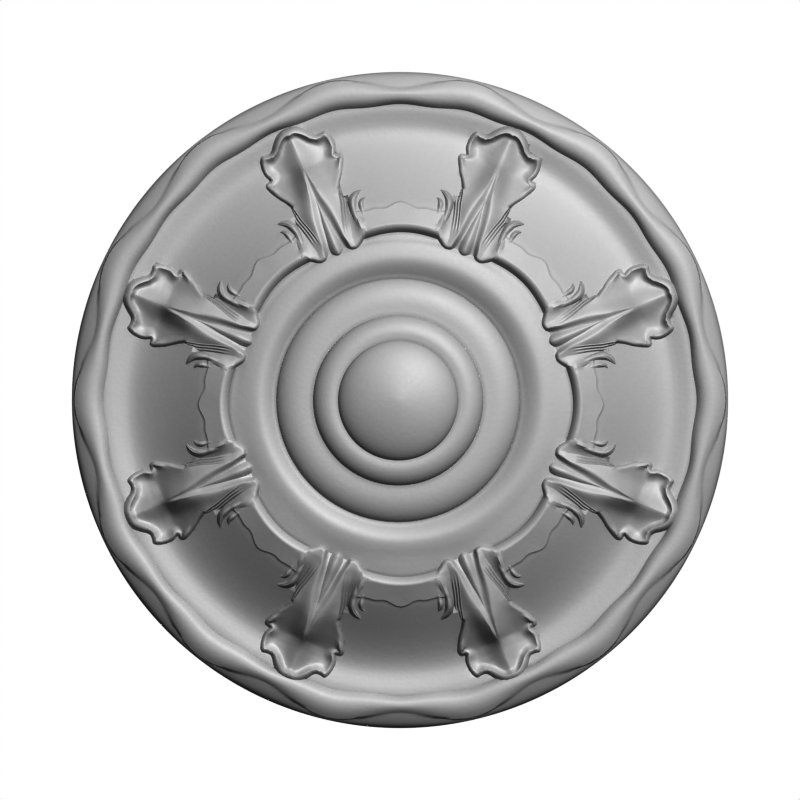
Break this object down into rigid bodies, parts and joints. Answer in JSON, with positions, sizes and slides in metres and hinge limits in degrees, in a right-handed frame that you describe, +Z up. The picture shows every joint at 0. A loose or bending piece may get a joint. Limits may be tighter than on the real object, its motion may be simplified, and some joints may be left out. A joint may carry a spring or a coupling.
{
  "type": "ceiling rose",
  "caption": "Round plaster ceiling rose: stepped centre boss in a dished ring, acanthus leaves lying down a deep cove, and a scalloped beaded rim. Fixed flat to a ceiling.",
  "frame": {"origin": "centre of the flat back, on the ceiling's plane", "axes": "+Z points up into the ceiling and the carved face looks down along -Z; seen from below with +X to the right, -Y is the top of the picture"},
  "size_m": [0.6, 0.6, 0.1],
  "materials": {
    "plaster": "matt grey paint on cast gypsum plaster"
  },
  "bodies": {
    "root": {"ceiling_rose": "plaster"}
  },
  "joints": []
}
